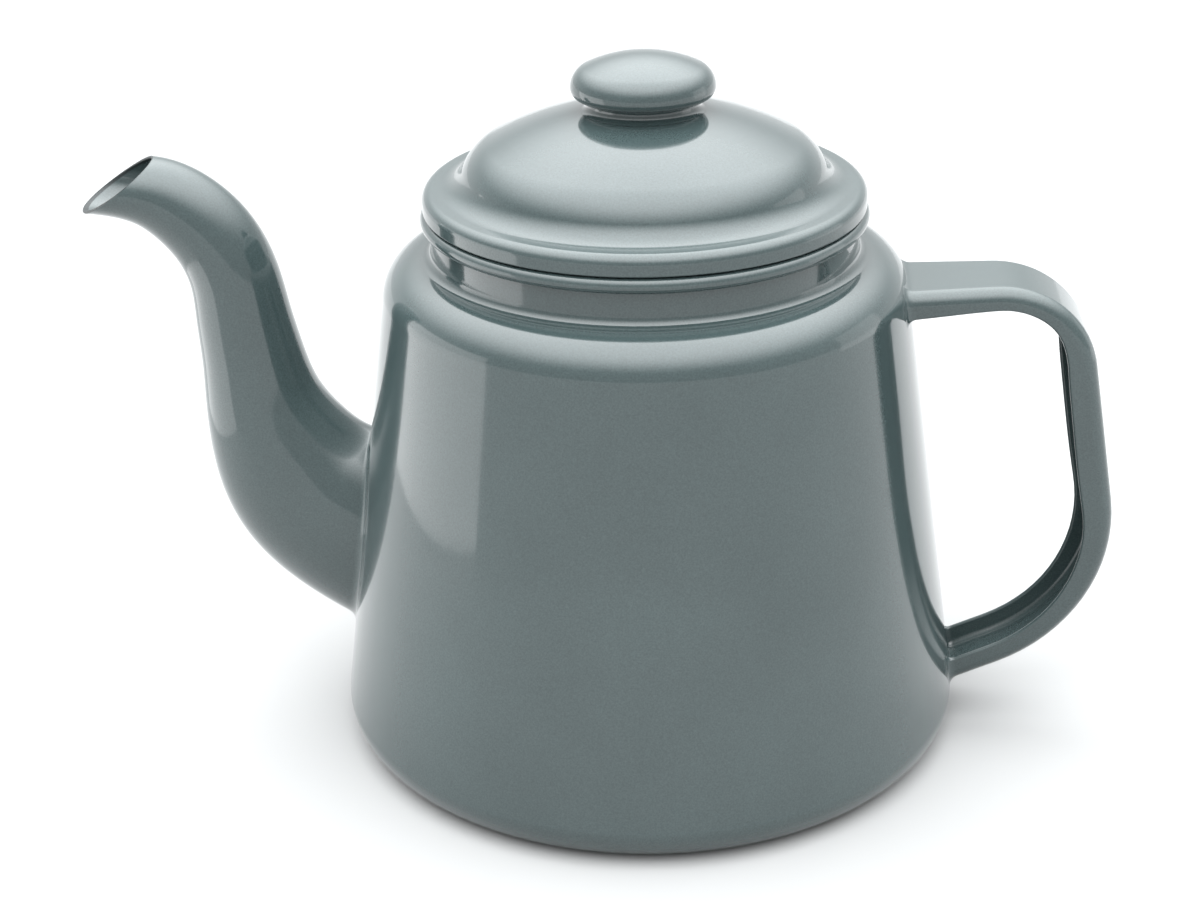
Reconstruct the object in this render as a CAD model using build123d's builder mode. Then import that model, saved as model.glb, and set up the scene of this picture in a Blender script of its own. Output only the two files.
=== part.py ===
from build123d import *
from math import asin, cos, degrees, radians, sin, sqrt, tan
import os

# Enamelled steel teapot: a drawn conical body with a pressed base pan, a two-part swan-neck spout,
# a channel-section strap handle and a lift-off domed lid with a hollow mushroom knob.
# Millimetres. Origin at the centre of the base, +Z up, handle towards +X, spout towards -X.

os.makedirs("parts", exist_ok=True)

# ---------------------------------------------------------------- driving dimensions
base_radius = 75.0            # widest radius, at the top of the base corner
corner_radius = 8.0           # outer radius of the base corner
wall_taper = 7.86             # degrees that the wall leans inwards
cone_top = 111.0              # height where the straight wall ends
shoulder_radius = 9.6         # outer radius of the shoulder
neck_fillet = 2.4             # outer radius of the hollow between shoulder and neck
seam_height = 14.0            # joint between base pan and body shell
bead_height = 128.8           # centre of the rolled mouth bead
bead_radius = 1.7
sheet = 1.0                   # enamelled sheet of body and lid

lid_radius = 50.7             # outside of the lid's turned edge
lid_edge_bottom = 130.8
lid_edge_radius = 2.3         # outer bend between flange and turned edge
dome_top = 153.8              # virtual top of the dome, under the knob
dome_crown_radius = 80.0
dome_side_radius = 11.5
dome_radius = 42.2            # greatest radius of the dome's side
dome_side_end = 68.0          # degrees from vertical where the side turns to the hollow
dome_hollow_radius = 6.0
flange_slope = 3.0            # degrees that the flange falls outwards
collar_radius = 47.3          # outside of the lid's locating collar
collar_depth = 12.0
vent_radius = 1.5
vent_offset = 24.0

knob_radius = 16.4
knob_equator = 157.8          # height of the knob's widest circle
knob_crown = 7.5              # height of the crown above the widest circle
knob_side_radius = 5.0        # bend between crown and widest circle
knob_under_radius = 2.2       # bend under the widest circle
knob_neck_radius = 12.5
knob_foot_bend = 2.3          # middle of the sheet, between neck and foot
knob_joint_radius = 13.4      # where crown piece and stem piece meet under the knob
knob_foot_radius = 15.6

spout_wall = 1.2
tip_cut_angle = 35.9          # degrees that the mouth of the spout rises towards the pot
tip_cut_roll = 6.0            # degrees that the mouth faces to the right of the spout's middle plane
tip_centre = (-123.0, 134.6)  # x, z of the mouth's centre
strainer_hole_radius = 1.75
strainer_pitch = 6.0
strainer_rows = (2, 3, 4, 3, 4, 3, 2)

handle_sheet = 1.2
handle_corner = 3.2
handle_upper_bend = 23.0
handle_lower_bend = 42.0

weld_leg = 1.2                # how far the weld fillets reach from the joints

half = sheet / 2

# ---------------------------------------------------------------- body profile
corner_centre = (base_radius - corner_radius, corner_radius)
wall_angle = radians(wall_taper)
wall_foot_radius = corner_centre[0] + corner_radius * cos(wall_angle)
wall_foot_height = corner_centre[1] + corner_radius * sin(wall_angle)
wall_length = (cone_top - wall_foot_height) / cos(wall_angle)


def wall_radius(height):
    """Outer radius of the straight wall at a height."""
    return wall_foot_radius - (height - wall_foot_height) * tan(wall_angle)


def wall_middle(height):
    """Point on the middle of the wall's sheet, level with its outer face at a height."""
    return (wall_radius(height) - half * cos(wall_angle), height - half * sin(wall_angle))


def envelope(grow):
    """Solid with the outer shape of body and base, grown outwards; it trims what is welded on."""
    with BuildPart() as solid:
        with BuildSketch(Plane.XZ):
            with BuildLine():
                floor = Line((0, -grow), (corner_centre[0], -grow))
                corner = JernArc(floor @ 1, floor % 1, corner_radius + grow, 90 + wall_taper)
                wall = Line(corner @ 1, (corner @ 1) + (corner % 1) * wall_length)
                shoulder = JernArc(wall @ 1, wall % 1, shoulder_radius + grow, 90 - wall_taper)
                top = Line(shoulder @ 1, (0, (shoulder @ 1).Y))
                Line(top @ 1, floor @ 0)
            make_face()
        revolve(axis=Axis.Z)
    return solid.part


body_outer = envelope(0)
body_grown = envelope(weld_leg)

# ---------------------------------------------------------------- base pan
with BuildPart() as base_pan:
    with BuildSketch(Plane.XZ):
        with BuildLine():
            disc = Line((0, half), (corner_centre[0], half))
            bend = JernArc(disc @ 1, disc % 1, corner_radius - half, 90 + wall_taper)
            Line(bend @ 1, wall_middle(seam_height))
        trace(line_width=sheet)
        split(bisect_by=Plane.YZ)
    revolve(axis=Axis.Z)
base_pan.part.label = "base_pan"

# ---------------------------------------------------------------- body shell
strainer_height = 50.0
with BuildPart() as body_shell:
    with BuildSketch(Plane.XZ):
        with BuildLine():
            shell_wall = Line(wall_middle(seam_height), wall_middle(cone_top))
            shell_shoulder = JernArc(
                shell_wall @ 1, shell_wall % 1, shoulder_radius - half, 90 - wall_taper
            )
            shell_throat = JernArc(
                shell_shoulder @ 1, shell_shoulder % 1, neck_fillet + half, -90
            )
            shell_neck = Line(shell_throat @ 1, ((shell_throat @ 1).X, bead_height))
        trace(line_width=sheet)
    revolve(axis=Axis.Z)
    # rolled bead round the mouth
    with BuildSketch(Plane.XZ):
        with Locations(((shell_neck @ 1).X - half + bead_radius, bead_height)):
            Circle(bead_radius)
    revolve(axis=Axis.Z)
    # strainer holes punched through the wall behind the spout
    strainer_plane = Plane(
        origin=(-wall_radius(strainer_height), 0, strainer_height),
        x_dir=(0, 1, 0),
        z_dir=(-cos(wall_angle), 0, sin(wall_angle)),
    )
    with BuildSketch(strainer_plane):
        for row, count in enumerate(strainer_rows):
            rise = (row - (len(strainer_rows) - 1) / 2) * strainer_pitch * sin(radians(60))
            with Locations((0, rise)):
                with GridLocations(strainer_pitch, 1, count, 1):
                    Circle(strainer_hole_radius)
    extrude(amount=4, both=True, mode=Mode.SUBTRACT)
body_shell.part.label = "body_shell"

# ---------------------------------------------------------------- spout
# Centre-line points from inside the wall to past the mouth: x, z, half height, half width.
spout_stations = (
    (-60.0, 42.6, 23.4, 16.5),
    (-70.8, 49.2, 23.2, 16.0),
    (-81.8, 57.8, 21.3, 15.2),
    (-88.9, 69.4, 17.7, 14.3),
    (-92.5, 80.9, 14.2, 13.0),
    (-94.1, 91.5, 12.3, 11.9),
    (-95.5, 102.0, 11.3, 11.1),
    (-96.8, 111.5, 10.6, 10.5),
    (-100.2, 120.3, 10.2, 10.0),
    (-106.3, 127.5, 9.6, 9.6),
    (-113.9, 132.1, 8.5, 9.2),
    (-122.4, 133.6, 7.0, 9.0),
    (-134.0, 134.2, 6.4, 9.0),
)

with BuildLine(Plane.XZ) as spout_centre:
    Spline([(x, z) for x, z, _, _ in spout_stations])


def spout_plane(x, z):
    """Plane across the spout at a centre-line point, with its own X across the pot."""
    line = spout_centre.edge()
    along = line.tangent_at(line.param_at_point((x, 0, z)))
    return Plane(origin=(x, 0, z), x_dir=(0, 1, 0), z_dir=along)


def spout_solid(inset):
    """The spout as one closed solid, its sections drawn in by inset."""
    with BuildPart() as solid:
        for x, z, half_height, half_width in spout_stations:
            with BuildSketch(spout_plane(x, z)):
                Ellipse(half_width - inset, half_height - inset)
        loft()
    return solid.part


tip_plane = Plane(
    origin=(tip_centre[0], 0, tip_centre[1]),
    z_dir=(
        -sin(radians(tip_cut_angle)) * cos(radians(tip_cut_roll)),
        -sin(radians(tip_cut_roll)),
        cos(radians(tip_cut_angle)) * cos(radians(tip_cut_roll)),
    ),
)
spout_outer = spout_solid(0)
spout_bore = spout_solid(spout_wall)
spout_grown = spout_solid(-weld_leg)


def spout_half(keep):
    """One stamped half of the spout, on the side of the middle plane that keep names."""
    with BuildPart() as stamping:
        add(spout_outer)
        add(spout_bore, mode=Mode.SUBTRACT)
        add(body_outer, mode=Mode.SUBTRACT)
        split(bisect_by=tip_plane, keep=Keep.BOTTOM)
        split(bisect_by=Plane.XZ, keep=keep)
    return stamping.part


with BuildPart() as spout_left_half:
    add(spout_half(Keep.TOP))
spout_left_half.part.label = "spout_left_half"

with BuildPart() as spout_right_half:
    add(spout_half(Keep.BOTTOM))
spout_right_half.part.label = "spout_right_half"

# weld fillet round the root of the spout
with BuildPart() as spout_weld:
    add(spout_grown)
    add(body_grown, mode=Mode.INTERSECT)
    add(body_outer, mode=Mode.SUBTRACT)
    add(spout_outer, mode=Mode.SUBTRACT)
spout_weld.part.label = "spout_weld"

# ---------------------------------------------------------------- handle
with BuildLine(Plane.XZ) as handle_line:
    FilletPolyline(
        (48.0, 112.4),
        (100.5, 114.9),
        (115.3, 28.6),
        (66.0, 6.2),
        radius=[handle_upper_bend, handle_lower_bend],
    )
# Position along the strap, with its width and the depth of its flanges there.
handle_stations = (
    (0.00, 26.0, 6.4), (0.06, 25.2, 6.2), (0.12, 24.0, 5.6), (0.18, 23.0, 5.0),
    (0.24, 22.4, 4.9), (0.29, 22.0, 5.2), (0.34, 21.6, 6.4), (0.42, 21.0, 7.1),
    (0.50, 20.2, 7.3), (0.56, 19.4, 7.2), (0.62, 18.6, 6.8), (0.69, 17.8, 6.4),
    (0.76, 17.2, 6.1), (0.83, 17.0, 6.0), (0.91, 17.0, 6.0), (1.00, 17.0, 6.0),
)


def handle_solid(grow):
    """The channel-section strap, run on into the body, with every face moved out by grow."""
    path = handle_line.wire()
    with BuildPart() as solid:
        for position, width, depth in handle_stations:
            side = width / 2 + grow
            inner = width / 2 - handle_sheet - grow
            rim = -depth - grow
            across = Plane(path.position_at(position), (0, 1, 0), path.tangent_at(position))
            with BuildSketch(across):
                with BuildLine():
                    outside = FilletPolyline(
                        (-side, rim), (-side, grow), (side, grow), (side, rim),
                        radius=handle_corner + grow,
                    )
                    roof = -handle_sheet - grow
                    inside = FilletPolyline(
                        (-inner, rim), (-inner, roof), (inner, roof), (inner, rim),
                        radius=handle_corner - handle_sheet,
                    )
                    Line(outside @ 0, inside @ 0)
                    Line(outside @ 1, inside @ 1)
                make_face()
        loft()
    return solid.part


handle_run = handle_solid(0)
with BuildPart() as handle_strap:
    add(handle_run)
    add(body_outer, mode=Mode.SUBTRACT)
handle_strap.part.label = "handle_strap"

# weld fillets round the two ends of the strap
with BuildPart() as handle_welds:
    add(handle_solid(weld_leg))
    add(body_grown, mode=Mode.INTERSECT)
    add(body_outer, mode=Mode.SUBTRACT)
    add(handle_run, mode=Mode.SUBTRACT)
weld_split = Plane.XY.offset(60)
with BuildPart() as handle_weld_upper:
    add(handle_welds.part)
    split(bisect_by=weld_split, keep=Keep.TOP)
handle_weld_upper.part.label = "handle_weld_upper"
with BuildPart() as handle_weld_lower:
    add(handle_welds.part)
    split(bisect_by=weld_split, keep=Keep.BOTTOM)
handle_weld_lower.part.label = "handle_weld_lower"

# ---------------------------------------------------------------- lid
side_centre_radius = dome_radius - dome_side_radius
crown_centre_height = dome_top - dome_crown_radius
side_angle = degrees(asin(side_centre_radius / (dome_crown_radius - dome_side_radius)))

with BuildPart() as lid_shell:
    with BuildSketch(Plane.XZ):
        with BuildLine():
            crown = JernArc((0, dome_top - half), (1, 0), dome_crown_radius - half, -side_angle)
            side_arc = JernArc(
                crown @ 1, crown % 1, dome_side_radius - half, -(dome_side_end - side_angle)
            )
            hollow = JernArc(
                side_arc @ 1, side_arc % 1, dome_hollow_radius + half, dome_side_end - flange_slope
            )
            edge_bend = lid_edge_radius - half
            reach = lid_radius - half - edge_bend * (1 - sin(radians(flange_slope)))
            run = (reach - (hollow @ 1).X) / cos(radians(flange_slope))
            flange = Line(hollow @ 1, hollow @ 1 + (hollow % 1) * run)
            edge = JernArc(flange @ 1, flange % 1, edge_bend, -(90 - flange_slope))
            Line(edge @ 1, ((edge @ 1).X, lid_edge_bottom + half))
        trace(line_width=sheet)
        split(bisect_by=Plane.YZ)
    revolve(axis=Axis.Z)
    # full round on the turned edge
    with BuildSketch(Plane.XZ):
        with Locations((lid_radius - half, lid_edge_bottom + half)):
            Circle(half)
    revolve(axis=Axis.Z)
    # steam vent on the far side of the dome
    with Locations((0, vent_offset, dome_top)):
        Cylinder(vent_radius, 20, mode=Mode.SUBTRACT)
lid_shell.part.label = "lid_shell"

# ring that drops into the mouth and keeps the lid in place, with a tab under the flange
slope = radians(flange_slope)
collar_turn = 1.0
tab_start = 48.4
tab_height = (hollow @ 1).Y - sheet / cos(slope) - (tab_start - (hollow @ 1).X) * tan(slope)
with BuildPart() as lid_collar:
    with BuildSketch(Plane.XZ):
        with BuildLine():
            tab_run = (tab_start - collar_radius + half - collar_turn) / cos(slope)
            tab = Line((tab_start, tab_height), (tab_start - tab_run * cos(slope),
                                                 tab_height + tab_run * sin(slope)))
            turn = JernArc(tab @ 1, tab % 1, collar_turn, 90 + flange_slope)
            Line(turn @ 1, ((turn @ 1).X, tab_height - collar_depth))
        trace(line_width=sheet)
    revolve(axis=Axis.Z)
lid_collar.part.label = "lid_collar"

# ---------------------------------------------------------------- knob
foot_circle = dome_crown_radius + half       # middle of the foot's sheet, lying on the dome
neck_middle = knob_neck_radius - half
underside_middle = knob_equator - knob_under_radius + half
bend_centre_height = crown_centre_height + sqrt(
    (foot_circle + knob_foot_bend) ** 2 - (neck_middle + knob_foot_bend) ** 2
)
foot_start_angle = degrees(asin((neck_middle + knob_foot_bend) / (foot_circle + knob_foot_bend)))
foot_end_angle = degrees(asin(knob_foot_radius / foot_circle))
underside_bend = underside_middle - bend_centre_height

with BuildPart() as knob_stem:
    with BuildSketch(Plane.XZ):
        with BuildLine():
            under = Line(
                (knob_joint_radius, underside_middle),
                (neck_middle + underside_bend, underside_middle),
            )
            over_neck = JernArc(under @ 1, under % 1, underside_bend, 90)
            foot_bend = JernArc(over_neck @ 1, over_neck % 1, knob_foot_bend, 90 - foot_start_angle)
            JernArc(foot_bend @ 1, foot_bend % 1, foot_circle, foot_start_angle - foot_end_angle)
        trace(line_width=sheet)
    revolve(axis=Axis.Z)
knob_stem.part.label = "knob_stem"

side_offset = knob_radius - knob_side_radius
knob_crown_radius = (side_offset ** 2 + knob_crown ** 2 - knob_side_radius ** 2) / (
    2 * (knob_crown - knob_side_radius)
)
knob_side_angle = degrees(asin(side_offset / (knob_crown_radius - knob_side_radius)))

with BuildPart() as knob_crown_shell:
    with BuildSketch(Plane.XZ):
        with BuildLine():
            knob_top = JernArc(
                (0, knob_equator + knob_crown - half), (1, 0),
                knob_crown_radius - half, -knob_side_angle,
            )
            knob_side = JernArc(
                knob_top @ 1, knob_top % 1, knob_side_radius - half, knob_side_angle - 90
            )
            roll = JernArc(knob_side @ 1, knob_side % 1, knob_under_radius - half, -90)
            Line(roll @ 1, (knob_joint_radius, underside_middle))
        trace(line_width=sheet)
        split(bisect_by=Plane.YZ)
    revolve(axis=Axis.Z)
knob_crown_shell.part.label = "knob_crown"

# ---------------------------------------------------------------- write one file per sub-part
pieces = (
    base_pan, body_shell, spout_left_half, spout_right_half, spout_weld,
    handle_strap, handle_weld_upper, handle_weld_lower,
    lid_shell, lid_collar, knob_stem, knob_crown_shell,
)
for piece in pieces:
    export_step(piece.part, f"parts/{piece.part.label}.step")
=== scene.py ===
import math

import bmesh
import bpy
import numpy as np
from mathutils import Matrix, Vector


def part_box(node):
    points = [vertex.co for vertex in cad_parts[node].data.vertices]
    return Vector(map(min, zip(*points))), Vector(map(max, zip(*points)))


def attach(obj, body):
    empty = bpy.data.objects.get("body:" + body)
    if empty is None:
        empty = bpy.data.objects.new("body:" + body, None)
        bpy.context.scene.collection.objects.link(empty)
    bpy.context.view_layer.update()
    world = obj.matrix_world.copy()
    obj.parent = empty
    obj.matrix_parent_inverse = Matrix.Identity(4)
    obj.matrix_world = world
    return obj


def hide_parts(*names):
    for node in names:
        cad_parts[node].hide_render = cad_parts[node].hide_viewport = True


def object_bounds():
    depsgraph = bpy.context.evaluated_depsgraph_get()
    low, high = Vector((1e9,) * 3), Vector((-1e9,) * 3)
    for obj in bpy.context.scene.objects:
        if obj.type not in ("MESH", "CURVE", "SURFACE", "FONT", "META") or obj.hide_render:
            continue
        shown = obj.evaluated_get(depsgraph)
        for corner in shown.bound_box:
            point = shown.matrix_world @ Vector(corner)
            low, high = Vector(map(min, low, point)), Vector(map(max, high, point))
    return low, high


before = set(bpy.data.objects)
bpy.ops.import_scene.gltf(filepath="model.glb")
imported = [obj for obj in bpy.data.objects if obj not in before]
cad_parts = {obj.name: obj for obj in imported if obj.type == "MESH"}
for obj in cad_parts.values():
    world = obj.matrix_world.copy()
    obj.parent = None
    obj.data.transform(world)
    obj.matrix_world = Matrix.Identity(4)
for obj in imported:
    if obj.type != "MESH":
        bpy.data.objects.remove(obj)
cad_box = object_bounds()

# Glossy enamelled teapot. Every visible piece is a dense, smooth mesh that stands for the CAD node of
# the same sheet-metal piece. Lengths are metres, angles degrees, +Z up, handle at +X, spout at -X.

MM = 0.001

# ---------------------------------------------------------------- sizes
SHEET = 1.0 * MM
base_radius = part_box("base_pan")[1].x
corner_radius = 8.0 * MM
wall_taper = 7.86
cone_top = 111.0 * MM
shoulder_radius = 9.6 * MM
neck_fillet = 2.4 * MM
seam_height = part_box("body_shell")[0].z
bead_radius = 1.7 * MM
bead_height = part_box("body_shell")[1].z - bead_radius
bead_corner = 0.6 * MM            # enamel pooled under the bead

lid_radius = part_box("lid_shell")[1].x
lid_edge_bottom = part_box("lid_shell")[0].z
lid_edge_radius = 2.3 * MM
dome_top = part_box("lid_shell")[1].z
dome_crown_radius = 80.0 * MM
dome_side_radius = 11.5 * MM
dome_radius = 42.2 * MM
dome_side_end = 68.0
dome_hollow_radius = 6.0 * MM
flange_slope = 3.0
collar_radius = 47.3 * MM
collar_turn = 1.0 * MM
tab_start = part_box("lid_collar")[1].x
vent_radius = 1.5 * MM
vent_offset = 24.0 * MM

knob_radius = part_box("knob_crown")[1].x
knob_crown = 7.5 * MM
knob_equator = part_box("knob_crown")[1].z - knob_crown
knob_side_radius = 5.0 * MM
knob_under_radius = 2.2 * MM
knob_neck_radius = 12.5 * MM
knob_foot_bend = 2.0 * MM
knob_joint_radius = 13.4 * MM

spout_wall = 1.2 * MM
spout_lip = 0.8 * MM              # the wall thins towards the lip
tip_cut_angle = math.radians(35.9)
tip_cut_roll = math.radians(6.0)
tip_point = MM * np.array([-123.0, 0, 134.6])
strainer_height = 50.0 * MM
strainer_hole_radius = 1.75 * MM
strainer_pitch = 6.0 * MM
strainer_rows = (2, 3, 4, 3, 4, 3, 2)

handle_sheet = 1.2 * MM
handle_corner = 3.2 * MM
fillet_leg = 2.2 * MM             # reach of the enamelled fillets round the spout and the handle

# how finely the meshes are divided
LINE_STEP = 4.0 * MM
ARC_STEP = 5.0
SEGMENTS = 192                    # round the axis of the pot
SPOUT_AROUND, SPOUT_ALONG = 96, 120
HANDLE_ALONG = 150


# ---------------------------------------------------------------- outlines
def facing(heading):
    """Unit vectors along headings."""
    angle = np.radians(heading)
    return np.stack([np.cos(angle), np.sin(angle)], -1)


def trace(start, heading, *moves):
    """Points and headings along moves: a length is a straight run, (radius, turn) an arc, left positive."""
    points, headings = [np.array(start, float)], [float(heading)]
    for move in moves:
        here, way = points[-1], headings[-1]
        if isinstance(move, tuple):
            radius, turn = move
            side = math.copysign(1, turn)
            centre = here + side * radius * facing(way + 90)
            count = max(2, math.ceil(abs(turn) / ARC_STEP))
            for k in range(1, count + 1):
                now = way + turn * k / count
                points.append(centre - side * radius * facing(now + 90))
                headings.append(now)
        else:
            count = max(1, math.ceil(move / LINE_STEP))
            for k in range(1, count + 1):
                points.append(here + facing(way) * move * k / count)
                headings.append(way)
    return np.array(points), np.array(headings)


def sheet_outline(line, thickness, round_start=False, round_end=False):
    """Outline round a sheet with this middle line, as (r, z, normal r, normal z), outside on the left."""
    points, headings = line
    normals = facing(headings + 90)
    left = points + normals * thickness / 2
    right = points - normals * thickness / 2
    parts = [np.hstack([left, normals])]
    if round_end:
        cap, cap_headings = trace(left[-1], headings[-1], (thickness / 2, -180))
        parts.append(np.hstack([cap, facing(cap_headings + 90)])[1:-1])
    parts.append(np.hstack([right, -normals])[::-1])
    if round_start:
        cap, cap_headings = trace(right[0], headings[0] + 180, (thickness / 2, -180))
        parts.append(np.hstack([cap, facing(cap_headings + 90)])[1:-1])
    return np.vstack(parts)


# ---------------------------------------------------------------- meshes
def add_piece(name, co, normals, faces, body, *nodes):
    """A smooth mesh with its own normals that rides on a body and stands for CAD nodes."""
    mesh = bpy.data.meshes.new(name)
    mesh.from_pydata(co.tolist(), [], faces)
    mesh.polygons.foreach_set("use_smooth", [True] * len(faces))
    mesh.update()
    mesh.normals_split_custom_set_from_vertices(normals.tolist())
    mesh.materials.append(enamel)
    piece = bpy.data.objects.new(name, mesh)
    bpy.context.scene.collection.objects.link(piece)
    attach(piece, body)
    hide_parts(*nodes)
    return piece


def grid_faces(rows, columns, wrap_rows, wrap_columns, flip=False):
    """Quads over a grid of vertices numbered row by row."""
    faces = []
    for i in range(rows if wrap_rows else rows - 1):
        for j in range(columns if wrap_columns else columns - 1):
            a, b = i * columns + j, i * columns + (j + 1) % columns
            c, d = (i + 1) % rows * columns + (j + 1) % columns, (i + 1) % rows * columns + j
            faces.append((a, b, c, d) if flip else (a, d, c, b))
    return faces


def spin(values, turn):
    """(r, z) pairs turned about Z: an array of rows x turns x 3."""
    r, z = values[:, :1], values[:, 1:2]
    return np.stack([r * np.cos(turn), r * np.sin(turn), z + 0 * turn], -1)


def revolve(name, outline, body, node):
    """A body of revolution from a closed outline, or from an open one with both ends on the axis."""
    closed = outline[0, 0] > 1e-7
    rows = outline if closed else outline[1:-1]
    turn = np.linspace(0, 2 * math.pi, SEGMENTS, endpoint=False)[None, :]
    co = spin(rows[:, :2], turn).reshape(-1, 3)
    normals = spin(rows[:, 2:], turn).reshape(-1, 3)
    faces = grid_faces(len(rows), SEGMENTS, closed, True)
    if not closed:
        first, last = len(co), len(co) + 1
        co = np.vstack([co, [0, 0, outline[0, 1]], [0, 0, outline[-1, 1]]])
        normals = np.vstack([normals, [0, 0, outline[0, 3]], [0, 0, outline[-1, 3]]])
        base = (len(rows) - 1) * SEGMENTS
        for j in range(SEGMENTS):
            k = (j + 1) % SEGMENTS
            faces.append((first, j, k))
            faces.append((last, base + k, base + j))
    return add_piece(name, co, normals, faces, body, node)


def punch(piece, outline, holes):
    """Cuts round holes, each a (centre, direction, radius), through a revolved piece, normals kept."""
    cutter_mesh = bpy.data.meshes.new("cutter")
    cutter = bpy.data.objects.new("cutter", cutter_mesh)
    bpy.context.scene.collection.objects.link(cutter)
    work = bmesh.new()
    for centre, direction, radius in holes:
        place = Matrix.Translation(centre) @ Vector(direction).to_track_quat("Z", "Y").to_matrix().to_4x4()
        bmesh.ops.create_cone(
            work, cap_ends=True, segments=32, radius1=radius, radius2=radius, depth=8 * MM, matrix=place
        )
    work.to_mesh(cutter_mesh)
    work.free()
    cut = piece.modifiers.new("holes", "BOOLEAN")
    cut.operation, cut.solver, cut.object = "DIFFERENCE", "EXACT", cutter
    depsgraph = bpy.context.evaluated_depsgraph_get()
    mesh = bpy.data.meshes.new_from_object(piece.evaluated_get(depsgraph), depsgraph=depsgraph)
    piece.modifiers.clear()
    piece.data = mesh
    bpy.data.objects.remove(cutter)
    # the outline's normal at each vertex, and the hole's own wall kept flat
    co = np.array([v.co for v in mesh.vertices])
    r = np.hypot(co[:, 0], co[:, 1])
    gaps = (r[:, None] - outline[:, 0]) ** 2 + (co[:, 2, None] - outline[:, 1]) ** 2
    near = outline[gaps.argmin(1), 2:]
    flat = co[:, :2] / np.maximum(r, 1e-9)[:, None]
    ideal = np.column_stack([flat * near[:, :1], near[:, 1]])
    loops = np.zeros((len(mesh.loops), 3))
    for face in mesh.polygons:
        face.use_smooth = True
        own = np.array(face.normal)
        for loop in face.loop_indices:
            wanted = ideal[mesh.loops[loop].vertex_index]
            loops[loop] = wanted if own @ wanted > 0.5 else own
    mesh.normals_split_custom_set(loops.tolist())


# ---------------------------------------------------------------- the outer face of the pot
corner_centre = np.array([base_radius - corner_radius, corner_radius])
wall_normal = facing(wall_taper)
wall_way = facing(90 + wall_taper)
wall_foot = corner_centre + corner_radius * wall_normal
wall_length = (cone_top - wall_foot[1]) / wall_way[1]
wall_end = wall_foot + wall_length * wall_way
shoulder_centre = wall_end - shoulder_radius * wall_normal


def wall_at(height):
    """(r, z) on the outer face of the straight wall at a height."""
    return wall_foot + wall_way * (height - wall_foot[1]) / wall_way[1]


def pot_face(points):
    """Distance outside the pot's corner, wall or shoulder, and the outward normal there."""
    r = np.hypot(points[..., 0], points[..., 1])
    flat = np.stack([r, points[..., 2]], -1)
    along = (flat - wall_foot) @ wall_way
    low, high = flat - corner_centre, flat - shoulder_centre
    low_size, high_size = np.linalg.norm(low, axis=-1), np.linalg.norm(high, axis=-1)
    distance = (flat - wall_foot) @ wall_normal
    distance = np.where(along < 0, low_size - corner_radius, distance)
    distance = np.where(along > wall_length, high_size - shoulder_radius, distance)
    normal = np.broadcast_to(wall_normal, flat.shape)
    normal = np.where((along < 0)[..., None], low / low_size[..., None], normal)
    normal = np.where((along > wall_length)[..., None], high / high_size[..., None], normal)
    outward = points[..., :2] / r[..., None] * normal[..., :1]
    return distance, np.concatenate([outward, normal[..., 1:]], -1)


def crossing(inside, outside, value):
    """The place between inside, where value is negative, and outside, where it is positive."""
    for _ in range(40):
        middle = (inside + outside) / 2
        out = value(middle) > 0
        inside, outside = np.where(out, inside, middle), np.where(out, middle, outside)
    return (inside + outside) / 2


def spline(knots, values):
    """The natural cubic spline through rows of values at knots, as a function."""
    knots, values = np.array(knots, float), np.array(values, float)
    gaps, count = np.diff(knots), len(knots)
    matrix, right = np.eye(count), np.zeros_like(values)
    slopes = np.diff(values, axis=0) / gaps[:, None]
    for i in range(1, count - 1):
        matrix[i, i - 1:i + 2] = gaps[i - 1], 2 * (gaps[i - 1] + gaps[i]), gaps[i]
        right[i] = 6 * (slopes[i] - slopes[i - 1])
    bend = np.linalg.solve(matrix, right)

    def at(place):
        place = np.asarray(place, float)
        i = np.clip(np.searchsorted(knots, place) - 1, 0, count - 2)
        a, b, gap = place - knots[i], knots[i + 1] - place, gaps[i]
        a, b, gap = a[..., None], b[..., None], gap[..., None]
        cubic = (bend[i] * b ** 3 + bend[i + 1] * a ** 3) / (6 * gap)
        before = (values[i] / gap - bend[i] * gap / 6) * b
        after = (values[i + 1] / gap - bend[i + 1] * gap / 6) * a
        return cubic + before + after

    return at


def unit(vectors):
    return vectors / np.linalg.norm(vectors, axis=-1, keepdims=True)


def swept_normals(surface, along, around, outward):
    """Normals of surface(along, around), on the side where outward is positive."""
    step = 1e-5
    by_along = surface(along + step, around) - surface(along - step, around)
    by_around = surface(along, around + step) - surface(along, around - step)
    return unit(np.cross(by_along, by_around)) * outward


def root_fillet(name, feet, ends, side_normals, body, node):
    """A concave fillet between a swept surface and the pot, round a closed ring of feet on the pot."""
    pot_normals = pot_face(feet)[1]
    away = unit(side_normals - (side_normals * pot_normals).sum(-1, keepdims=True) * pot_normals)
    reach = feet + fillet_leg * away
    distance, reach_normals = pot_face(reach)
    reach = reach - distance[:, None] * reach_normals
    share = np.linspace(0, 1, 13)[:, None, None]
    arc = (1 - share) ** 2 * ends + 2 * share * (1 - share) * feet + share ** 2 * reach
    blend = (1 - share) * side_normals + share * pot_normals
    ring = np.roll(arc, -1, 1) - np.roll(arc, 1, 1)
    way = 2 * (1 - share) * (feet - ends) + 2 * share * (reach - feet)
    normals = unit(np.cross(ring, way))
    normals = normals * np.sign((normals * blend).sum(-1, keepdims=True))
    normals[0], normals[-1] = side_normals, reach_normals
    under = feet - 0.4 * MM * unit(side_normals + pot_normals)
    co = np.concatenate([arc, under[None]])
    normals = np.concatenate([normals, -normals[:1]])
    rows, columns = co.shape[:2]
    probe = np.cross(co[1, 0] - co[0, 0], co[0, 1] - co[0, 0])
    faces = grid_faces(rows, columns, True, True, flip=probe @ normals[0, 0] < 0)
    return add_piece(name, co.reshape(-1, 3), normals.reshape(-1, 3), faces, body, node)


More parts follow.
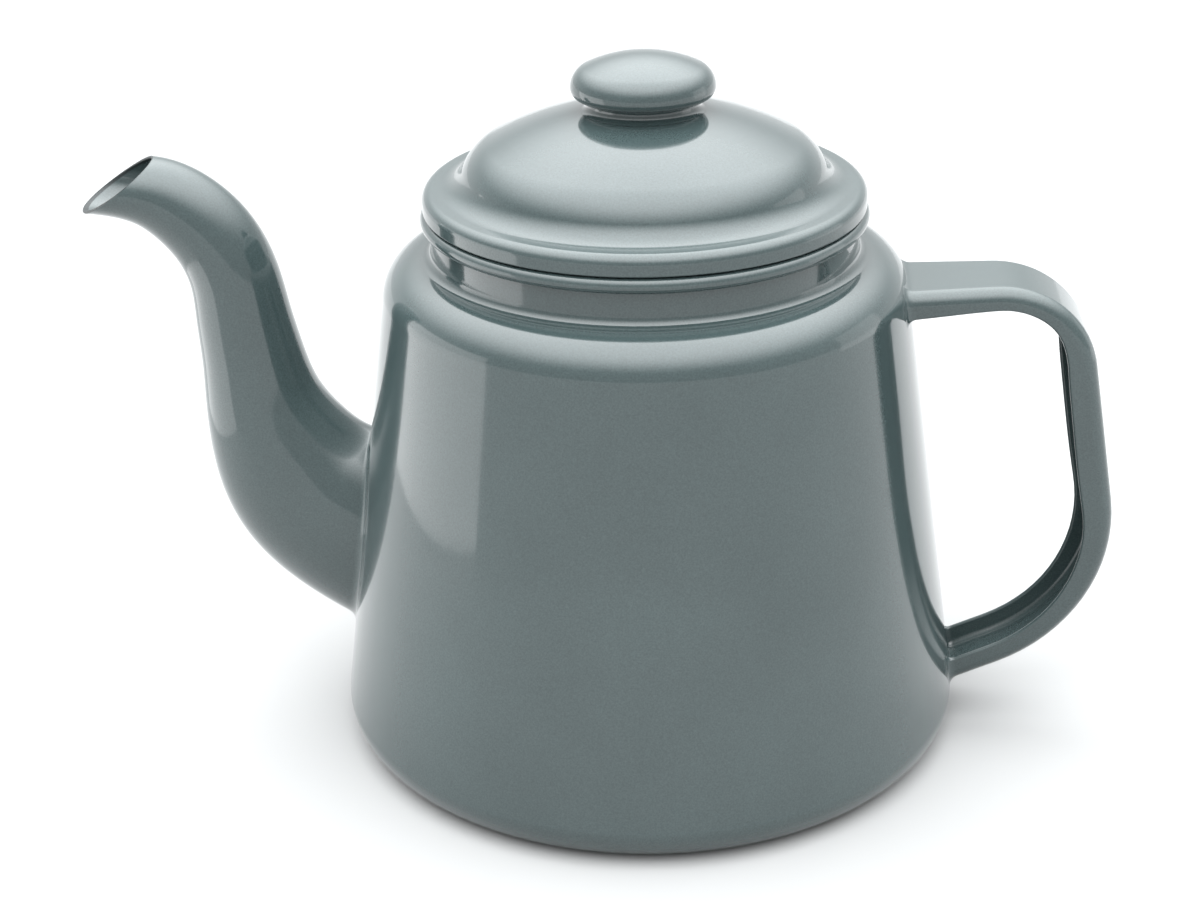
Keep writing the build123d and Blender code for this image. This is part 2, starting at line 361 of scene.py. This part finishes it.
# ---------------------------------------------------------------- enamel
def node(tree, kind, **inputs):
    """A shader node with some of its inputs set, by name, to values or to other sockets."""
    made = tree.nodes.new(kind)
    for key, value in inputs.items():
        socket = made.inputs[key.replace("_", " ")]
        if isinstance(value, bpy.types.NodeSocket):
            tree.links.new(value, socket)
        else:
            socket.default_value = value
    return made


def ramp(tree, factor, *stops):
    """A colour ramp through (position, colour) stops."""
    made = tree.nodes.new("ShaderNodeValToRGB")
    tree.links.new(factor, made.inputs["Fac"])
    while len(made.color_ramp.elements) < len(stops):
        made.color_ramp.elements.new(0.5)
    for element, (position, colour) in zip(made.color_ramp.elements, stops):
        element.position = position
        element.color = (*colour, 1)
    return made.outputs["Color"]


def enamel_material(name, deep, mid, pale, roughness, coat):
    """Vitreous enamel: a slightly uneven glassy coat over a finely speckled, softly clouded ground."""
    material = bpy.data.materials.new(name)
    material.use_nodes = True
    tree = material.node_tree
    tree.nodes.clear()
    place = tree.nodes.new("ShaderNodeTexCoord").outputs["Object"]
    clouds = node(tree, "ShaderNodeTexNoise", Vector=place, Scale=28.0, Detail=3.0, Roughness=0.55)
    ground = ramp(tree, clouds.outputs["Fac"], (0.3, deep), (0.52, mid), (0.75, pale))
    grain = node(tree, "ShaderNodeTexNoise", Vector=place, Scale=2600.0, Detail=2.0, Roughness=0.6)
    specks = ramp(
        tree, grain.outputs["Fac"], (0.30, (0.80, 0.80, 0.80)), (0.5, (1, 1, 1)), (0.72, (1.22, 1.2, 1.2))
    )
    mixed = tree.nodes.new("ShaderNodeMix")
    mixed.data_type, mixed.blend_type = "RGBA", "MULTIPLY"
    mixed.inputs["Factor"].default_value = 1.0
    tree.links.new(ground, mixed.inputs["A"])
    tree.links.new(specks, mixed.inputs["B"])
    haze = node(tree, "ShaderNodeTexNoise", Vector=place, Scale=90.0, Detail=4.0, Roughness=0.6)
    gloss = node(tree, "ShaderNodeMapRange", Value=haze.outputs["Fac"])
    gloss.inputs["From Min"].default_value, gloss.inputs["From Max"].default_value = 0.3, 0.7
    gloss.inputs["To Min"].default_value, gloss.inputs["To Max"].default_value = roughness
    swell = node(tree, "ShaderNodeTexNoise", Vector=place, Scale=75.0, Detail=1.0, Roughness=0.4)
    peel = node(tree, "ShaderNodeTexNoise", Vector=place, Scale=520.0, Detail=2.0, Roughness=0.5)
    waves = node(tree, "ShaderNodeBump", Height=swell.outputs["Fac"], Strength=0.22, Distance=0.25 * MM)
    ripple = node(
        tree, "ShaderNodeBump", Height=peel.outputs["Fac"], Normal=waves.outputs["Normal"],
        Strength=0.12, Distance=0.05 * MM,
    )
    shader = node(
        tree, "ShaderNodeBsdfPrincipled", Base_Color=mixed.outputs["Result"],
        Roughness=gloss.outputs["Result"], Normal=ripple.outputs["Normal"], IOR=1.5,
        Coat_Weight=coat, Coat_Roughness=0.05, Coat_IOR=1.5,
    )
    out = tree.nodes.new("ShaderNodeOutputMaterial")
    tree.links.new(shader.outputs["BSDF"], out.inputs["Surface"])
    return material


enamel = enamel_material(
    "grey_green_enamel", (0.037, 0.055, 0.056), (0.041, 0.060, 0.061), (0.045, 0.066, 0.067),
    roughness=(0.09, 0.15), coat=0.5,
)
# a darker, duller enamel, given to the faces round the spout's lip
rim_enamel = enamel_material(
    "dark_lip_enamel", (0.010, 0.015, 0.016), (0.015, 0.022, 0.023), (0.030, 0.040, 0.040),
    roughness=(0.40, 0.55), coat=0.05,
)

# ---------------------------------------------------------------- pot: base pan and body shell
inner_wall = wall_at(seam_height) - SHEET * wall_normal
outer_seam = wall_at(seam_height)
inner_corner = corner_centre + (corner_radius - SHEET) * wall_normal
pan_rise = (inner_wall - inner_corner) @ wall_way
pan_in, pan_in_headings = trace(
    (0, SHEET), 0, corner_centre[0], (corner_radius - SHEET, 90 + wall_taper), pan_rise
)
pan_out, pan_out_headings = trace(
    outer_seam, wall_taper - 90, (outer_seam - wall_foot) @ wall_way,
    (corner_radius, -90 - wall_taper), corner_centre[0],
)
pan_out[-1, 0] = pan_in[0, 0] = 0
base_outline = np.vstack([
    np.hstack([pan_in, facing(pan_in_headings + 90)]), np.hstack([pan_out, facing(pan_out_headings + 90)])
])
revolve("pot_base", base_outline, "pot", "base_pan")

shell_rise = (wall_end - outer_seam) @ wall_way
shell_turn = 90 - wall_taper
throat_top = shoulder_centre[1] + shoulder_radius + neck_fillet
pool_offset = bead_corner + SHEET - bead_radius
pool_reach = bead_corner + bead_radius
bead_turn = 180 + math.degrees(math.acos(pool_offset / pool_reach))
pool_drop = math.sqrt(pool_reach ** 2 - pool_offset ** 2)
shell_points, shell_headings = trace(
    inner_wall, 90 + wall_taper,
    shell_rise, (shoulder_radius - SHEET, shell_turn), (neck_fillet + SHEET, -90),
    bead_height - throat_top, (bead_radius, -bead_turn), (bead_corner, bead_turn - 180),
    bead_height - pool_drop - throat_top, (neck_fillet, 90), (shoulder_radius, -shell_turn), shell_rise,
)
shell_outline = np.hstack([shell_points, facing(shell_headings + 90)])
body = revolve("pot_body", shell_outline, "pot", "body_shell")

strainer_way = np.array([-wall_normal[0], 0, wall_normal[1]])
strainer_up = np.array([-wall_way[0], 0, wall_way[1]])
strainer_foot = wall_at(strainer_height)
strainer_holes = []
for row, count in enumerate(strainer_rows):
    rise = (row - (len(strainer_rows) - 1) / 2) * strainer_pitch * math.sin(math.radians(60))
    for place in range(count):
        across = (place - (count - 1) / 2) * strainer_pitch
        centre = np.array([-strainer_foot[0], across, strainer_foot[1]]) + rise * strainer_up
        strainer_holes.append((centre, strainer_way, strainer_hole_radius))
punch(body, shell_outline, strainer_holes)

# ---------------------------------------------------------------- pot: spout
# x, z, half height, half width across the centre line, from inside the wall to past the mouth
spout_stations = MM * np.array([
    (-60.0, 42.6, 23.4, 16.5), (-70.8, 49.2, 23.2, 16.0), (-81.8, 57.8, 21.3, 15.2),
    (-88.9, 69.4, 17.7, 14.3), (-92.5, 80.9, 14.2, 13.0), (-94.1, 91.5, 12.3, 11.9),
    (-95.5, 102.0, 11.3, 11.1), (-96.8, 111.5, 10.6, 10.5), (-100.2, 120.3, 10.2, 10.0),
    (-106.3, 127.5, 9.6, 9.6), (-113.9, 132.1, 8.5, 9.2), (-122.4, 133.6, 7.0, 9.0),
    (-134.0, 134.2, 6.4, 9.0),
])
station_gaps = np.linalg.norm(np.diff(spout_stations[:, :2], axis=0), axis=1)
spout_places = np.concatenate([[0], np.cumsum(station_gaps)])
spout_line = spline(spout_places, spout_stations)


def spout_surface(inset):
    """The spout's surface as a function of the place along it and the angle round it."""
    def surface(along, around):
        centre = spout_line(along)
        way = unit(spout_line(along + 0.1 * MM)[..., :2] - spout_line(along - 0.1 * MM)[..., :2])
        rise = (centre[..., 2] - inset) * np.sin(around)
        return np.stack([
            centre[..., 0] + way[..., 1] * rise,
            (centre[..., 3] - inset) * np.cos(around),
            centre[..., 1] - way[..., 0] * rise,
        ], -1)
    return surface


tip_normal = np.array([
    -math.sin(tip_cut_angle) * math.cos(tip_cut_roll), -math.sin(tip_cut_roll),
    math.cos(tip_cut_angle) * math.cos(tip_cut_roll),
])
outer_spout, inner_spout = spout_surface(0), spout_surface(spout_wall)
spout_turn = np.linspace(-math.pi / 2, 1.5 * math.pi, 2 * SPOUT_AROUND + 1)
near_tip = np.full_like(spout_turn, spout_places[-4])
past_tip = np.full_like(spout_turn, spout_places[-1])
at_axis = np.zeros_like(spout_turn)
spout_start = crossing(at_axis, past_tip / 2, lambda s: pot_face(outer_spout(s, spout_turn))[0])
bore_start = crossing(at_axis, past_tip / 2, lambda s: pot_face(inner_spout(s, spout_turn))[0])
lip_bulge = 0.9 * MM               # the rounded lip stays short of the cut
spout_end = crossing(
    near_tip, past_tip, lambda s: (outer_spout(s, spout_turn) - tip_point) @ tip_normal + lip_bulge
)
share = np.linspace(0, 1, SPOUT_ALONG)[:, None]
outer_places = spout_start + (spout_end - spout_start) * share
bore_places = bore_start + (spout_end - bore_start) * share
spout_outside = outer_spout(outer_places, spout_turn)
outside_normals = swept_normals(outer_spout, outer_places, spout_turn, 1)
spout_inside = inner_spout(bore_places, spout_turn)
inside_normals = swept_normals(inner_spout, bore_places, spout_turn, 1)
waist = spout_outside[SPOUT_ALONG // 3]
side = np.sign((outside_normals[SPOUT_ALONG // 3] * (waist - waist.mean(0))).sum())
outside_normals, inside_normals = outside_normals * side, -inside_normals * side
# the wall thins over the last fifth before the lip
thinning = np.clip((share - 0.8) / 0.2, 0, 1) ** 2 * (spout_wall - spout_lip)
spout_inside = spout_inside + inside_normals * -thinning[..., None]
lip_turn = np.radians(np.linspace(0, 180, 10))[1:-1, None, None]
lip_middle = (spout_outside[-1] + spout_inside[-1]) / 2
lip_half = (spout_outside[-1] - spout_inside[-1]) / 2
lip_way = unit(spout_outside[-1] - spout_outside[-2])
lip_size = np.linalg.norm(lip_half, axis=-1, keepdims=True)
lip = lip_middle + lip_half * np.cos(lip_turn) + lip_way * lip_size * np.sin(lip_turn)
lip_normals = unit(lip - lip_middle)
spout_co = np.concatenate([spout_outside, lip, spout_inside[::-1]])
spout_normals = np.concatenate([outside_normals, lip_normals, inside_normals[::-1]])
for name, node_name, columns in (
    ("spout_right", "spout_right_half", slice(0, SPOUT_AROUND + 1)),
    ("spout_left", "spout_left_half", slice(SPOUT_AROUND, None)),
):
    co, normals = spout_co[:, columns], spout_normals[:, columns]
    rows, count = co.shape[:2]
    probe = np.cross(co[1, 0] - co[0, 0], co[0, 1] - co[0, 0]) @ normals[0, 0] < 0
    faces = grid_faces(rows, count, True, False, flip=probe)
    for i in range(rows // 2 - 1):
        for edge, turned in ((0, probe), (count - 1, not probe)):
            a, b = i * count + edge, (i + 1) * count + edge
            c, d = (rows - 2 - i) * count + edge, (rows - 1 - i) * count + edge
            faces.append((a, b, c, d) if turned else (a, d, c, b))
    half_spout = add_piece(name, co.reshape(-1, 3), normals.reshape(-1, 3), faces, "pot", node_name)
    half_spout.data.materials.append(rim_enamel)
    for face in half_spout.data.polygons:
        row = min(face.vertices) // count
        if SPOUT_ALONG <= row <= SPOUT_ALONG + len(lip):
            face.material_index = 1

ring = spout_turn[:-1]
feet = outer_spout(spout_start[:-1], ring)
root_fillet(
    "spout_root", feet, outer_spout(spout_start[:-1] + fillet_leg, ring),
    side * swept_normals(outer_spout, spout_start[:-1], ring, 1), "pot", "spout_weld",
)

# ---------------------------------------------------------------- pot: handle
handle_corners = MM * np.array([(48.0, 112.4), (100.5, 114.9), (115.3, 28.6), (66.0, 6.2)])
handle_bends = (23.0 * MM, 42.0 * MM)
handle_runs = np.diff(handle_corners, axis=0)
handle_ways = np.degrees(np.arctan2(handle_runs[:, 1], handle_runs[:, 0]))
handle_turns = np.diff(handle_ways)
bend_legs = [0, *(b * math.tan(math.radians(abs(t)) / 2) for b, t in zip(handle_bends, handle_turns)), 0]
handle_moves = []
for k, run in enumerate(np.linalg.norm(handle_runs, axis=1)):
    handle_moves.append(run - bend_legs[k] - bend_legs[k + 1])
    if k < len(handle_bends):
        handle_moves.append((handle_bends[k], handle_turns[k]))
handle_points, handle_headings = trace(handle_corners[0], handle_ways[0], *handle_moves)
handle_steps = np.linalg.norm(np.diff(handle_points, axis=0), axis=1)
handle_places = np.concatenate([[0], np.cumsum(handle_steps)]) / handle_steps.sum()
# position along the strap, with its width and the depth of its flanges there
handle_stations = np.array([
    (0.00, 26.0, 6.4), (0.06, 25.2, 6.2), (0.12, 24.0, 5.6), (0.18, 23.0, 5.0), (0.24, 22.4, 4.9),
    (0.29, 22.0, 5.2), (0.34, 21.6, 6.4), (0.42, 21.0, 7.1), (0.50, 20.2, 7.3), (0.56, 19.4, 7.2),
    (0.62, 18.6, 6.8), (0.69, 17.8, 6.4), (0.76, 17.2, 6.1), (0.83, 17.0, 6.0), (0.91, 17.0, 6.0),
    (1.00, 17.0, 6.0),
])
handle_size = spline(handle_stations[:, 0], MM * handle_stations[:, 1:])


def channel_section():
    """The channel's outline: shares of half the width and of the depth, offsets, and normals."""
    rim, roof = handle_sheet / 2, handle_corner - handle_sheet
    arcs = (
        (-1, rim, 1, rim, rim, 0, -180, 1), (-1, handle_corner, 0, -handle_corner, handle_corner, 180, 90, 1),
        (1, -handle_corner, 0, -handle_corner, handle_corner, 90, 0, 1), (1, -rim, 1, rim, rim, 0, -180, 1),
        (1, -handle_sheet - roof, 0, -handle_sheet - roof, roof, 0, 90, -1),
        (-1, handle_sheet + roof, 0, -handle_sheet - roof, roof, 90, 180, -1),
    )
    rows = []
    for half_width, across, depth, up, radius, start, end, outside in arcs:
        for angle in np.linspace(start, end, 13):
            c, s = facing(angle)
            rows.append((half_width, across + radius * c, depth, up + radius * s, outside * c, outside * s))
    return np.array(rows)


section = channel_section()


def handle_surface(along, around):
    """Points of the strap, and its normals, at places along it for each point of its section."""
    size = handle_size(along)
    at = np.stack([np.interp(along, handle_places, handle_points[:, k]) for k in (0, 1)], -1)
    up = facing(np.interp(along, handle_places, handle_headings) + 90)
    across = around[:, 0] * size[..., 0] / 2 + around[:, 1]
    height = around[:, 3] - around[:, 2] * size[..., 1]
    points = np.stack([at[..., 0] + up[..., 0] * height, across, at[..., 1] + up[..., 1] * height], -1)
    normals = np.stack([up[..., 0] * around[:, 5], around[:, 4] + 0 * height, up[..., 1] * around[:, 5]], -1)
    return points, normals


middle = np.full(len(section), 0.5)
handle_start = crossing(0 * middle, middle, lambda s: pot_face(handle_surface(s, section)[0])[0])
handle_end = crossing(0 * middle + 1, middle, lambda s: pot_face(handle_surface(s, section)[0])[0])
share = np.linspace(0, 1, HANDLE_ALONG)[:, None]
strap_co, strap_normals = handle_surface(handle_start + (handle_end - handle_start) * share, section)
strap_probe = np.cross(strap_co[1, 0] - strap_co[0, 0], strap_co[0, 1] - strap_co[0, 0])
strap_flip = strap_probe @ strap_normals[0, 0] < 0
strap_faces = grid_faces(HANDLE_ALONG, len(section), False, True, flip=strap_flip)
add_piece("handle", strap_co.reshape(-1, 3), strap_normals.reshape(-1, 3), strap_faces, "pot", "handle_strap")
leg_share = fillet_leg / handle_steps.sum()
for name, node_name, places, step in (
    ("handle_root_upper", "handle_weld_upper", handle_start, leg_share),
    ("handle_root_lower", "handle_weld_lower", handle_end, -leg_share),
):
    feet, side_normals = handle_surface(places, section)
    ends = handle_surface(places + step, section)[0]
    root_fillet(name, feet, ends, side_normals, "pot", node_name)

# ---------------------------------------------------------------- lid
side_centre_radius = dome_radius - dome_side_radius
side_angle = math.degrees(math.asin(side_centre_radius / (dome_crown_radius - dome_side_radius)))
edge_bend = lid_edge_radius - SHEET / 2
lid_moves = [
    (dome_crown_radius - SHEET / 2, -side_angle), (dome_side_radius - SHEET / 2, side_angle - dome_side_end),
    (dome_hollow_radius + SHEET / 2, dome_side_end - flange_slope),
]
hollow = trace((0, dome_top - SHEET / 2), 0, *lid_moves)[0][-1]
flange_reach = lid_radius - SHEET / 2 - edge_bend * (1 - math.sin(math.radians(flange_slope)))
flange_run = (flange_reach - hollow[0]) / math.cos(math.radians(flange_slope))
bent_edge = trace((0, dome_top - SHEET / 2), 0, *lid_moves, flange_run, (edge_bend, flange_slope - 90))[0][-1]
lid_line = trace(
    (0, dome_top - SHEET / 2), 0, *lid_moves, flange_run, (edge_bend, flange_slope - 90),
    bent_edge[1] - lid_edge_bottom - SHEET / 2,
)
lid_outline = sheet_outline(lid_line, SHEET, round_end=True)
lid = revolve("lid_dome", lid_outline, "lid", "lid_shell")
punch(lid, lid_outline, [((0, vent_offset, dome_top - 3 * MM), (0, 0, 1), vent_radius)])

tab_slope = math.radians(flange_slope)
tab_height = hollow[1] - SHEET / math.cos(tab_slope) - (tab_start - hollow[0]) * math.tan(tab_slope)
tab_run = (tab_start - collar_radius + SHEET / 2 - collar_turn) / math.cos(tab_slope)
collar_line = trace(
    (tab_start, tab_height), 180 - flange_slope, tab_run, (collar_turn, 90 + flange_slope),
    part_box("lid_collar")[1].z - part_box("lid_collar")[0].z - 2 * collar_turn,
)
revolve("lid_ring", sheet_outline(collar_line, SHEET, True, True), "lid", "lid_collar")

# ---------------------------------------------------------------- knob
dome_centre = dome_top - dome_crown_radius
underside = knob_equator - knob_under_radius
foot_reach = dome_crown_radius + knob_foot_bend
foot_tilt = math.asin((knob_neck_radius + knob_foot_bend) / foot_reach)
under_bend = underside - dome_centre - foot_reach * math.cos(foot_tilt)
foot_line = trace(
    (knob_joint_radius, underside), 180, knob_joint_radius - knob_neck_radius - under_bend,
    (under_bend, 90), (knob_foot_bend, 90 - math.degrees(foot_tilt)),
)
foot_outline = np.hstack([foot_line[0], facing(foot_line[1] + 90)])
neck_inside = knob_neck_radius - SHEET
sunk = dome_centre + math.sqrt((dome_crown_radius - 0.1 * MM) ** 2 - neck_inside ** 2)
foot_outline = np.vstack([
    foot_outline, (neck_inside, sunk, -1, 0), (neck_inside, underside + SHEET, -1, 0),
    (knob_joint_radius, underside + SHEET, 0, 1),
])
revolve("knob_foot", foot_outline, "lid", "knob_stem")

side_offset = knob_radius - knob_side_radius
crown_rise = knob_crown - knob_side_radius
crown_radius = (side_offset ** 2 + knob_crown ** 2 - knob_side_radius ** 2) / (2 * crown_rise)
crown_turn = math.degrees(math.asin(side_offset / (crown_radius - knob_side_radius)))
cap_moves = [
    (crown_radius - SHEET / 2, -crown_turn), (knob_side_radius - SHEET / 2, crown_turn - 90),
    (knob_under_radius - SHEET / 2, -90),
]
rolled = trace((0, knob_equator + knob_crown - SHEET / 2), 0, *cap_moves)[0][-1]
cap_line = trace((0, knob_equator + knob_crown - SHEET / 2), 0, *cap_moves, rolled[0] - knob_joint_radius)
revolve("knob_cap", sheet_outline(cap_line, SHEET), "lid", "knob_crown")

# ---------------------------------------------------------------- studio
FLOOR_REACH = 6.0
FLOOR_COLOUR = (0.37, 0.37, 0.37, 1)
corners = ((-1, -1), (1, -1), (1, 1), (-1, 1))
floor_mesh = bpy.data.meshes.new("floor")
floor_mesh.from_pydata(
    [(x * FLOOR_REACH, y * FLOOR_REACH, cad_box[0].z) for x, y in corners], [], [(0, 1, 2, 3)]
)
floor_material = bpy.data.materials.new("pale_floor")
floor_material.use_nodes = True
floor_material.node_tree.nodes.clear()
matt = node(floor_material.node_tree, "ShaderNodeBsdfDiffuse", Color=FLOOR_COLOUR)
floor_out = floor_material.node_tree.nodes.new("ShaderNodeOutputMaterial")
floor_material.node_tree.links.new(matt.outputs["BSDF"], floor_out.inputs["Surface"])
floor_mesh.materials.append(floor_material)
floor = bpy.data.objects.new("floor", floor_mesh)
bpy.context.scene.collection.objects.link(floor)

# the room: one large soft light overhead, pale all round and a little dimmer in front
world = bpy.data.worlds.new("studio")
bpy.context.scene.world = world
world.use_nodes = True
room = world.node_tree
way = room.nodes.new("ShaderNodeTexCoord").outputs["Generated"]


def glow(axis, start, end, low, high):
    """Brightness that changes softly with the direction along an axis."""
    along = node(room, "ShaderNodeVectorMath", Vector=way)
    along.operation = "DOT_PRODUCT"
    along.inputs[1].default_value = axis
    made = node(room, "ShaderNodeMapRange", Value=along.outputs["Value"])
    made.interpolation_type = "SMOOTHSTEP"
    made.inputs["From Min"].default_value, made.inputs["From Max"].default_value = start, end
    made.inputs["To Min"].default_value, made.inputs["To Max"].default_value = low, high
    return made.outputs["Result"]


brightness = room.nodes.new("ShaderNodeMath")
walls = glow(axis=(0, 1, 0), start=-0.5, end=0.4, low=0.75, high=1.0)
overhead = glow(axis=(0, 0.05, 1), start=0.28, end=1.0, low=0.0, high=4.9)
room.links.new(walls, brightness.inputs[0])
room.links.new(overhead, brightness.inputs[1])
background = room.nodes["Background"]
background.inputs["Color"].default_value = (0.97, 0.99, 1.0, 1)
room.links.new(brightness.outputs["Value"], background.inputs["Strength"])


def softbox(name, place, aim, width, height, power):
    """A soft rectangular light at place, turned towards aim."""
    data = bpy.data.lights.new(name, "AREA")
    data.shape, data.size, data.size_y, data.energy = "RECTANGLE", width, height, power
    light = bpy.data.objects.new(name, data)
    way = Vector(aim) - Vector(place)
    light.matrix_world = Matrix.Translation(place) @ way.to_track_quat("-Z", "Y").to_matrix().to_4x4()
    light.visible_camera = False
    bpy.context.scene.collection.objects.link(light)


softbox(
    "left_softbox", place=(-0.26, -0.03, 0.082), aim=(0, -0.03, 0.082), width=0.25, height=0.156, power=0.16
)
softbox("right_softbox", place=(0.60, 0.12, 0.16), aim=(0, 0, 0.12), width=0.30, height=0.30, power=0.18)

# ---------------------------------------------------------------- camera
CAMERA_AZIMUTH, CAMERA_PITCH, CAMERA_ROLL, CAMERA_YAW = 3.5, 25.098, 1.2085, 1.3552
CAMERA_DISTANCE, CAMERA_HEIGHT = 480.78 * MM, 290.44 * MM
camera_data = bpy.data.cameras.new("camera")
camera_data.lens, camera_data.sensor_width = 66.0, 36.0
camera_data.clip_start = 0.01
camera = bpy.data.objects.new("camera", camera_data)
azimuth = math.radians(CAMERA_AZIMUTH)
place = (CAMERA_DISTANCE * math.sin(azimuth), -CAMERA_DISTANCE * math.cos(azimuth), CAMERA_HEIGHT)
camera.matrix_world = (
    Matrix.Translation(place)
    @ Matrix.Rotation(math.radians(CAMERA_AZIMUTH + CAMERA_YAW), 4, "Z")
    @ Matrix.Rotation(math.radians(90 - CAMERA_PITCH), 4, "X")
    @ Matrix.Rotation(math.radians(-CAMERA_ROLL), 4, "Z")
)
bpy.context.scene.collection.objects.link(camera)
bpy.context.scene.camera = camera
bpy.context.scene.view_settings.view_transform = "Standard"
